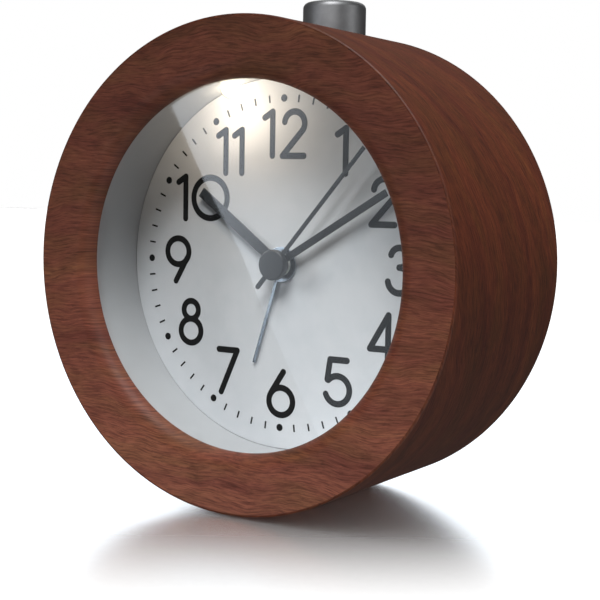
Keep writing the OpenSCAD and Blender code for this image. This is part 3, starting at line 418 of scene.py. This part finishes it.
for v in raised["geom"]:
    if isinstance(v, bmesh.types.BMVert):
        v.co.y -= INK_T * MM
bmesh.ops.recalc_face_normals(bm, faces=bm.faces)
mesh = bpy.data.meshes.new("dial_numerals")
bm.to_mesh(mesh)
bm.free()
# Screen ink: flat black with almost no gloss.
ink = moulded("black_screen_ink", "#0c0c0d", "#111112", 0.6, 0.08, 0.002, shine=0.2)


def print_on(obj):
    """Printed ink gets the ink material and rides on the case."""
    obj.data.materials.clear()
    obj.data.materials.append(ink)
    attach(obj, "case")


print_on(put("dial_numerals", mesh))

# Marks: sixty printed round the dial, a dot at each hour and a short tick at each minute between.
# They are the same black ink as the numerals, printed with them.
HOUR_EVERY = 5.0
sizes = {"Circle radius": 38.65, "Dot radius": 0.86, "Tick length": 1.75, "Tick width": 0.42,
         "Ink thickness": INK_T}
marks = bpy.data.node_groups.new("dial_marks", "GeometryNodeTree")
marks.interface.new_socket("Geometry", in_out="OUTPUT", socket_type="NodeSocketGeometry")
keys = {}
for label in sizes:
    keys[label] = marks.interface.new_socket(
        label, in_out="INPUT", socket_type="NodeSocketFloat").identifier
given = marks.nodes.new("NodeGroupInput").outputs
circle = add(marks, "GeometryNodeMeshCircle", {"Vertices": 60, "Radius": given["Circle radius"]})
index = add(marks, "GeometryNodeInputIndex").outputs[0]
rest = add(marks, "ShaderNodeMath", {0: index, 1: HOUR_EVERY}, operation="MODULO")
hour = add(marks, "ShaderNodeMath", {0: rest.outputs[0], 1: 0.5}, operation="LESS_THAN")
minute = add(marks, "ShaderNodeMath", {0: 1.0, 1: hour.outputs[0]}, operation="SUBTRACT")
turn = add(marks, "ShaderNodeMath", {0: index, 1: math.radians(6)}, operation="MULTIPLY")
facing = add(marks, "ShaderNodeCombineXYZ", {"Z": turn.outputs[0]})
dot = add(marks, "GeometryNodeMeshCylinder", {
    "Vertices": 24, "Radius": given["Dot radius"], "Depth": given["Ink thickness"]})
block = add(marks, "ShaderNodeCombineXYZ", {
    "X": given["Tick length"], "Y": given["Tick width"], "Z": given["Ink thickness"]})
tick = add(marks, "GeometryNodeMeshCube", {"Size": block.outputs[0]})
placed = [add(marks, "GeometryNodeInstanceOnPoints", {
    "Points": circle.outputs["Mesh"], "Selection": which.outputs[0],
    "Instance": shape.outputs["Mesh"], "Rotation": facing.outputs[0]})
    for which, shape in ((hour, dot), (minute, tick))]
joined = add(marks, "GeometryNodeJoinGeometry", {"Geometry": placed[0].outputs[0]})
marks.links.new(placed[1].outputs[0], joined.inputs[0])
real = add(marks, "GeometryNodeRealizeInstances", {"Geometry": joined.outputs[0]})
inked = add(marks, "GeometryNodeSetMaterial", {"Geometry": real.outputs[0], "Material": ink})
add(marks, "NodeGroupOutput", {0: inked.outputs[0]})
ticks = put("dial_marks", bpy.data.meshes.new("dial_marks"))
printing = ticks.modifiers.new("marks", "NODES")
printing.node_group = marks
for label, size in sizes.items():
    printing[keys[label]] = size
baked(ticks)
ticks.data.transform(TO_AXIS @ Matrix.Scale(MM, 4)
                     @ Matrix.Translation((0, 0, DIAL_DEPTH - INK_T / 2)))
print_on(ticks)

# Lamp: a warm-white light diode with a domed resin body.
# It is pushed through the wall of the cup near 11 o'clock and lights the dial.
# Lit resin: white hot where it faces the eye, a thin dull rim where it turns away.
lamp, tree = material("warm_diode_resin")
layer = add(tree, "ShaderNodeLayerWeight", {"Blend": 0.4}).outputs["Facing"]
warm = add(tree, "ShaderNodeValToRGB", {"Fac": layer}, stops=[
    (0.0, "#fff6dc"), (0.7, "#fff0cc"), (1.0, "#a5a084")]).outputs["Color"]
lit = add(tree, "ShaderNodeMapRange", {
    "Value": layer, "From Min": 0.3, "From Max": 0.6, "To Min": 3.0, "To Max": 0.3})
resin = add(tree, "ShaderNodeBsdfPrincipled", {
    "Base Color": warm, "Roughness": 0.25, "Emission Color": warm,
    "Emission Strength": lit.outputs[0], "IOR": 1.5})
add(tree, "ShaderNodeOutputMaterial", {"Surface": resin.outputs[0]})
dress(softened("dial_lamp", 0), "case", lamp, "lamp_resin", "dial_lamp")

# Hands: stamped from thin sheet and pressed on the movement's tubes and arbor.
# Hour, minute and second hands are lacquered black; the alarm hand is left bright.
# Satin lacquer: black, with a soft gleam along the edges.
black = moulded("black_satin_lacquer", "#0b0b0c", "#121213", 0.35, 0.2, 0.002)
# Bright metal: cool and light, it mirrors the room in soft patches.
silver = moulded("brushed_bright_metal", "#b4bcc6", "#ccd4de", 0.25, 0.2, 0.002, metallic=1.0)
dress(softened("alarm_hand", 0.06), "alarm_tube", silver, "silver_hand", "alarm_hand")
dress(softened("hour_hand", 0.08), "hour_tube", black, "black_lacquer", "hour_hand")
dress(softened("minute_hand", 0.08), "minute_tube", black, "black_lacquer", "minute_hand")
dress(softened("second_hand", 0.06), "second_arbor", black, "black_lacquer", "second_hand")

# Button: a cap turned from metal, hollow round its stem, with a satin face and a rounded rim.
# Its stem slides in a bush in the drum, and a coil spring inside the cap lifts it again.
STEM_R = 2.0
STEM_FOOT = 101.6
CAP_R = 7.7
CAP_IN_R = 6.3
CAP_FOOT = 108.8
CAP_ROOF = 117.5
CAP_TOP = 118.9
RIM_ROUND = 1.5
# Satin turned metal: grey, brushed round by the tool, so that highlights spread into soft stripes.
# The turning lines are drawn coarser than real ones, so that they show.
TURNING_MM = 1 / 6
CLOUD_MM = 10 / 3
satin, tree = material("satin_turned_metal")
where = add(tree, "ShaderNodeTexCoord").outputs["Object"]
height = add(tree, "ShaderNodeSeparateXYZ", {0: where})
level = add(tree, "ShaderNodeCombineXYZ", {"Z": height.outputs["Z"]})
turning = add(tree, "ShaderNodeTexNoise", {
    "Vector": level.outputs[0], "Scale": 1 / (TURNING_MM * MM), "Detail": 2.0}).outputs["Fac"]
cloud = add(tree, "ShaderNodeTexNoise", {
    "Vector": where, "Scale": 1 / (CLOUD_MM * MM), "Detail": 3.0})
grey_tone = add(tree, "ShaderNodeValToRGB", {"Fac": cloud.outputs["Fac"]}, stops=[
    (0.3, "#8a8b8d"), (0.7, "#9c9d9f")])
rough = add(tree, "ShaderNodeMapRange", {"Value": turning, "To Min": 0.46, "To Max": 0.56})
bump = add(tree, "ShaderNodeBump", {"Height": turning, "Strength": 0.15, "Distance": 0.01 * MM})
brushed = add(tree, "ShaderNodeBsdfPrincipled", {
    "Base Color": grey_tone.outputs["Color"], "Roughness": rough.outputs[0], "Metallic": 1.0,
    "Normal": bump.outputs[0]})
add(tree, "ShaderNodeOutputMaterial", {"Surface": brushed.outputs[0]})
button = lathe("button_cap", [
    (0, STEM_FOOT), (STEM_R, STEM_FOOT), (STEM_R, CAP_ROOF), (CAP_IN_R, CAP_ROOF),
    (CAP_IN_R, CAP_FOOT), (CAP_R, CAP_FOOT),
    *arc(CAP_R - RIM_ROUND, CAP_TOP - RIM_ROUND, RIM_ROUND, RIM_ROUND, 0, 90, 12),
    (0, CAP_TOP)], TO_BUTTON, 128)
dress(button, "button", satin, "satin_metal", "snooze_button")
# Drawn spring wire: bright grey, with small sharp highlights.
bright = moulded("bright_spring_steel", "#7c7d80", "#949598", 0.28, 0.15, 0.002, metallic=1.0)
spring = softened("button_spring", 0)
dress(spring, "case", bright, "spring_steel", "button_spring")
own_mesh(spring)

# Back: a cover moulded in black plastic, with the knob well, the battery bay and the switch slot.
# Four screws hold it on the drum's step. The bay's lid clips in; knobs and switch are moulded too.
# Spark-textured black plastic: charcoal in the light, with a dull even sheen.
charcoal = moulded("black_textured_moulded_plastic", "#2b2b2d", "#303032", 0.5, 0.35, 0.02)
# Plain grey plastic: the one light spot on the back.
grey = moulded("grey_moulded_plastic", "#8d8f91", "#9b9d9f", 0.45, 0.35, 0.012)
# Zinc plate: pale and slightly cloudy.
steel = moulded("zinc_plated_steel", "#8c8d8f", "#a2a3a4", 0.45, 0.2, 0.003, metallic=1.0)
dress(softened("back_cover", 0.2), "case", charcoal, "black_plastic", "back_cover")
dress(softened("cover_screws", 0.06), "case", steel, "screw_steel", "cover_screws")
dress(softened("battery_door", 0.15), "bay_lid", charcoal, "black_plastic", "battery_door")
dress(softened("time_knob", 0.12), "time_setter", charcoal, "black_plastic", "time_knob")
dress(softened("alarm_knob", 0.12), "alarm_setter", charcoal, "black_plastic", "alarm_knob")
dress(softened("alarm_switch", 0.1), "slider", grey, "grey_plastic", "alarm_switch")

# Inside: the movement, the sounder, the cell and the button's guide, screwed or clipped in place.
# Their CAD shapes stay. Each gets the finish of its stuff: moulded, stamped, drawn, wound or plated.
inner = {
    "movement_plastic": moulded("ivory_moulded_plastic", "#d9d5c6", "#e3dfd2", 0.45, 0.4, 0.01),
    "screw_steel": steel,
    "soft_iron": moulded("annealed_soft_iron", "#6d6f72", "#7e8083", 0.45, 0.3, 0.004, metallic=1.0),
    "copper_wire": moulded("enamelled_copper_wire", "#8a3f1c", "#a3512a", 0.35, 0.1, 0.02,
                           metallic=1.0),
    "magnet_grey": moulded("sintered_magnet", "#4b4d50", "#5d5f63", 0.5, 0.2, 0.006, metallic=1.0),
    "wheel_nylon": moulded("white_nylon", "#d8dad6", "#e6e7e3", 0.4, 0.3, 0.006),
    "brass_tube": moulded("drawn_brass", "#a98b3f", "#bd9e50", 0.3, 0.2, 0.003, metallic=1.0),
    "black_plastic": charcoal,
    "board_green": moulded("solder_masked_board", "#1f4a2c", "#2a5c38", 0.4, 0.5, 0.006),
    "cell_wrap": moulded("printed_cell_wrap", "#6a6d72", "#7b7e83", 0.3, 0.6, 0.003),
    "spring_steel": bright,
    "grey_plastic": grey,
    "white_plastic": cup_white,
}
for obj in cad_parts.values():
    if obj.hide_render:
        continue
    held = obj.data.materials
    base = held[0].name.split(".")[0] if held and held[0] else ""
    held.clear()
    held.append(inner.get(base, inner["movement_plastic"]))

# Floor: a sheet of white acrylic, the stage that the clock stands on.
# Glossy acrylic: it mirrors the drum softly behind its foot. Towards the front the mirror image
# fades, and far from the clock the sheet is plain white.
FLOOR_SIZE = 6
bpy.ops.mesh.primitive_plane_add(size=FLOOR_SIZE)
floor = bpy.context.object
floor.name = "floor"
sheet, tree = material("white_acrylic_sheet")
where = add(tree, "ShaderNodeTexCoord").outputs["Object"]
speck = add(tree, "ShaderNodeTexNoise", {"Vector": where, "Scale": 400.0})
white = add(tree, "ShaderNodeValToRGB", {"Fac": speck.outputs["Fac"]}, stops=[
    (0.3, "#f2f2f2"), (0.7, "#f4f4f4")])
body = add(tree, "ShaderNodeBsdfDiffuse", {"Color": white.outputs["Color"]})
sheen = add(tree, "ShaderNodeBsdfGlossy", {"Color": (0.94, 1.0, 1.06, 1.0), "Roughness": 0.25})
ahead = add(tree, "ShaderNodeVectorMath", {0: where, 1: (0.545, -0.839, 0.0)},
            operation="DOT_PRODUCT")
away = add(tree, "ShaderNodeVectorMath", {0: where}, operation="LENGTH")
front = add(tree, "ShaderNodeMapRange", {
    "Value": ahead.outputs["Value"], "From Min": 0.02, "From Max": 0.1,
    "To Min": 0.85, "To Max": 0.0}, interpolation_type="SMOOTHSTEP")
near = add(tree, "ShaderNodeMapRange", {
    "Value": away.outputs["Value"], "From Min": 0.2, "From Max": 0.5,
    "To Min": 1.0, "To Max": 0.0})
share = add(tree, "ShaderNodeMath", {0: front.outputs[0], 1: near.outputs[0]},
            operation="MULTIPLY")
both = add(tree, "ShaderNodeMixShader",
           {0: share.outputs[0], 1: body.outputs[0], 2: sheen.outputs[0]})
add(tree, "ShaderNodeOutputMaterial", {"Surface": both.outputs[0]})
floor.data.materials.append(sheet)
floor.visible_glossy = False
floor.visible_diffuse = False

# Light card: a lit white card on the left, off the picture, part of the stage.
# Its outline, in mm, is what the window glass mirrors as a pale veil over the right of the dial.
CARD_Y = -600.0
CARD_LIFT = 0.5
outline = [(-490, 175), (-467, 135), (-436, 79), (-400, 24), (-384, -9), (-351, -68),
           (-334, -99), (-311, -140), (-240, -140), (-240, 175)]
bm = bmesh.new()
bm.faces.new([bm.verts.new((x * MM, CARD_Y * MM, (z + CARD_LIFT) * MM)) for x, z in outline])
mesh = bpy.data.meshes.new("light_card")
bm.to_mesh(mesh)
bm.free()
card_light = put("light_card", mesh)
# Lit card: cool white, brightest along its slanted edge.
glow, tree = material("lit_white_card")
where = add(tree, "ShaderNodeTexCoord").outputs["Object"]
slant = add(tree, "ShaderNodeVectorMath", {0: where, 1: (7.857, 0.0, -2.404)},
            operation="DOT_PRODUCT")
fade = add(tree, "ShaderNodeMapRange", {
    "Value": slant.outputs["Value"], "From Min": -3.576, "From Max": -2.576,
    "To Min": 4.4, "To Max": 1.05}, interpolation_type="SMOOTHSTEP")
lit = add(tree, "ShaderNodeEmission",
          {"Color": (0.9, 0.99, 1.1, 1.0), "Strength": fade.outputs[0]})
add(tree, "ShaderNodeOutputMaterial", {"Surface": lit.outputs[0]})
card_light.data.materials.append(glow)
card_light.visible_diffuse = False


# Light tent: a wide dome of lit white cloth, part of the stage, which lights the floor alone.
# Lit cloth: an even white glow that lets the other lights through.
def group(name, members):
    """A set of objects that a light is linked to."""
    made = bpy.data.collections.new(name)
    for obj in members:
        made.objects.link(obj)
    return made


TENT_R = 4.0
bm = bmesh.new()
bmesh.ops.create_icosphere(bm, subdivisions=3, radius=TENT_R)
bmesh.ops.reverse_faces(bm, faces=bm.faces)
mesh = bpy.data.meshes.new("white_tent")
bm.to_mesh(mesh)
bm.free()
tent = put("white_tent", mesh)
cloth, tree = material("lit_white_cloth")
clear = add(tree, "ShaderNodeBsdfTransparent", {"Color": (1.0, 1.0, 1.0, 1.0)})
lit = add(tree, "ShaderNodeEmission", {"Color": (1.0, 1.0, 1.0, 1.0), "Strength": 1.45})
both = add(tree, "ShaderNodeAddShader", {0: clear.outputs[0], 1: lit.outputs[0]})
add(tree, "ShaderNodeOutputMaterial", {"Surface": both.outputs[0]})
mesh.materials.append(cloth)
tent.visible_camera = False
tent.light_linking.receiver_collection = group("only_floor", [floor])

# Soft boxes: rectangular studio lights aimed at the drum, each linked to the pieces that it lights.
# Keys come from above, fills from the sides and behind, and two from below stand for table bounce.
BACK = ("back_cover_soft", "cover_screws_soft", "battery_door_soft", "time_knob_soft",
        "alarm_knob_soft", "alarm_switch_soft")
PRINTED = ("dial_plate_soft", "dial_numerals", "dial_marks")
HANDS = ("hour_hand_soft", "minute_hand_soft", "second_hand_soft", "alarm_hand_soft")
clock = [obj for obj in scene.objects
         if obj.type == "MESH" and obj not in (floor, card_light, tent)]
only_clock = group("only_clock", clock)
but_drum = group("but_drum", [obj for obj in clock if obj not in (drum, button)])
only_drum = group("only_drum", [drum])
only_button = group("only_button", [button])
only_back = group("only_back", [bpy.data.objects[name] for name in BACK])
only_dial = group("only_dial", [bpy.data.objects[name] for name in PRINTED + HANDS])
only_cup = group("only_cup", [bpy.data.objects["dial_cup_soft"]])
only_outside = group("only_outside", [obj for obj in clock
                                      if obj.name not in ("dial_cup_soft",) + PRINTED])
# Name, place and size in metres, watts, pieces lit, pieces that cast its shadows, ray it is hidden from.
boxes = [
    ("clock_key", (0.15, -0.5, 0.95), (0.5, 0.65), 17.0, but_drum, None, None),
    ("drum_key", (0.3, -0.2, 1.0), (0.5, 0.65), 13.8, only_drum, None, None),
    ("back_key", (-0.35, 0.95, 0.75), (0.6, 0.5), 13.0, only_back, None, None),
    ("rear_fill", (-0.3, 1.05, 0.08), (0.6, 0.5), 9.0, only_drum, None, "visible_glossy"),
    ("left_fill", (-1.0, 0.25, 0.15), (0.6, 0.5), 7.0, only_drum, None, "visible_glossy"),
    ("right_fill", (0.85, -0.38, 0.22), (0.5, 0.4), 4.4, only_outside, None, "visible_glossy"),
    ("table_bounce", (-0.35, -0.6, -0.35), (0.7, 0.5), 5.5, only_drum, only_clock, "visible_glossy"),
    ("table_sheen", (0.45, -0.05, -0.35), (0.6, 0.6), 1.7, only_drum, only_clock, "visible_diffuse"),
    ("dial_fill", (-0.81, -0.47, 0.40), (0.35, 0.35), 5.8, only_dial, None, None),
    ("button_fill", (-0.05, -0.85, 0.25), (1.5, 0.5), 2.0, only_button, None, None),
    ("button_back", (-0.2, 0.6, 0.6), (0.6, 0.3), 0.8, only_button, None, None),
    ("button_key", (0.15, -0.5, 0.95), (0.5, 0.65), 9.0, only_button, None, None),
    ("button_side", (0.9, 0.1, 0.3), (0.3, 0.3), 1.0, only_button, None, None),
]
for name, at, (wide, high), power, lights, shade, hidden in boxes:
    data = bpy.data.lights.new(name, "AREA")
    data.shape = "RECTANGLE"
    data.size, data.size_y = wide, high
    data.energy = power
    box = bpy.data.objects.new(name, data)
    scene.collection.objects.link(box)
    box.location = at
    aim = Vector((0, 0, AXIS_H * MM)) - Vector(at)
    box.rotation_euler = aim.to_track_quat("-Z", "Y").to_euler()
    box.light_linking.receiver_collection = lights
    if shade:
        box.light_linking.blocker_collection = shade
    if hidden:
        setattr(box, hidden, False)

# Lamp light: what the diode throws, as two small warm points near its dome.
# One makes the pool on the dial, the other the glow on the cup's wall; the cup shades neither.
LAMP_TURN = math.radians(18)
for name, reach, depth, power, lights in (("lamp_glow", 38.0, 9.0, 0.0115, only_dial),
                                          ("lamp_halo", 40.2, 17.2, 0.0013, only_cup)):
    data = bpy.data.lights.new(name, "POINT")
    data.energy = power
    data.color = (1.0, 0.83, 0.64)
    data.shadow_soft_size = 1.2 * MM
    point = bpy.data.objects.new(name, data)
    point.location = TO_AXIS @ (Vector((-reach * math.sin(LAMP_TURN),
                                        -reach * math.cos(LAMP_TURN), depth)) * MM)
    point.light_linking.receiver_collection = lights
    point.light_linking.blocker_collection = only_dial
    scene.collection.objects.link(point)

# Room: plain white where the camera looks past the floor, and dim in light and reflections,
# so that the soft boxes shape the clock.
world = bpy.data.worlds.new("white_room")
scene.world = world
world.use_nodes = True
tree = world.node_tree
tree.nodes.clear()
path = add(tree, "ShaderNodeLightPath").outputs
dim = add(tree, "ShaderNodeMapRange",
          {"Value": path["Is Glossy Ray"], "To Min": 0.07, "To Max": 0.08})
room = add(tree, "ShaderNodeBackground",
           {"Color": (1.0, 1.0, 1.0, 1.0), "Strength": dim.outputs[0]})
sweep = add(tree, "ShaderNodeBackground", {"Color": (1.0, 1.0, 1.0, 1.0), "Strength": 1.0})
chosen = add(tree, "ShaderNodeMixShader",
             {0: path["Is Camera Ray"], 1: room.outputs[0], 2: sweep.outputs[0]})
add(tree, "ShaderNodeOutputWorld", {"Surface": chosen.outputs[0]})
scene.view_settings.view_transform = "Standard"

# Camera: at the photograph's angle, from the right and a little above, close to the clock.
# Place in mm and angles in radians come from a fit of the drum's rims and the dial's dots.
EYE = Vector((169.27, -266.05, 73.31))
YAW, PITCH, ROLL = 0.5620, 0.0823, 0.0157
toward = Vector((math.sin(YAW) * math.cos(PITCH), -math.cos(YAW) * math.cos(PITCH),
                 math.sin(PITCH)))
across = Vector((0, 0, 1)).cross(toward).normalized()
upright = toward.cross(across)
right = math.cos(ROLL) * across + math.sin(ROLL) * upright
up = math.cos(ROLL) * upright - math.sin(ROLL) * across
lens = bpy.data.cameras.new("camera")
lens.lens = 79.615
lens.shift_x, lens.shift_y = -0.0005, -0.0007
lens.sensor_width = 36.0
camera = bpy.data.objects.new("camera", lens)
camera.matrix_world = (Matrix.Translation(EYE * MM)
                       @ Matrix((right, up, toward)).transposed().to_4x4())
scene.collection.objects.link(camera)
scene.camera = camera
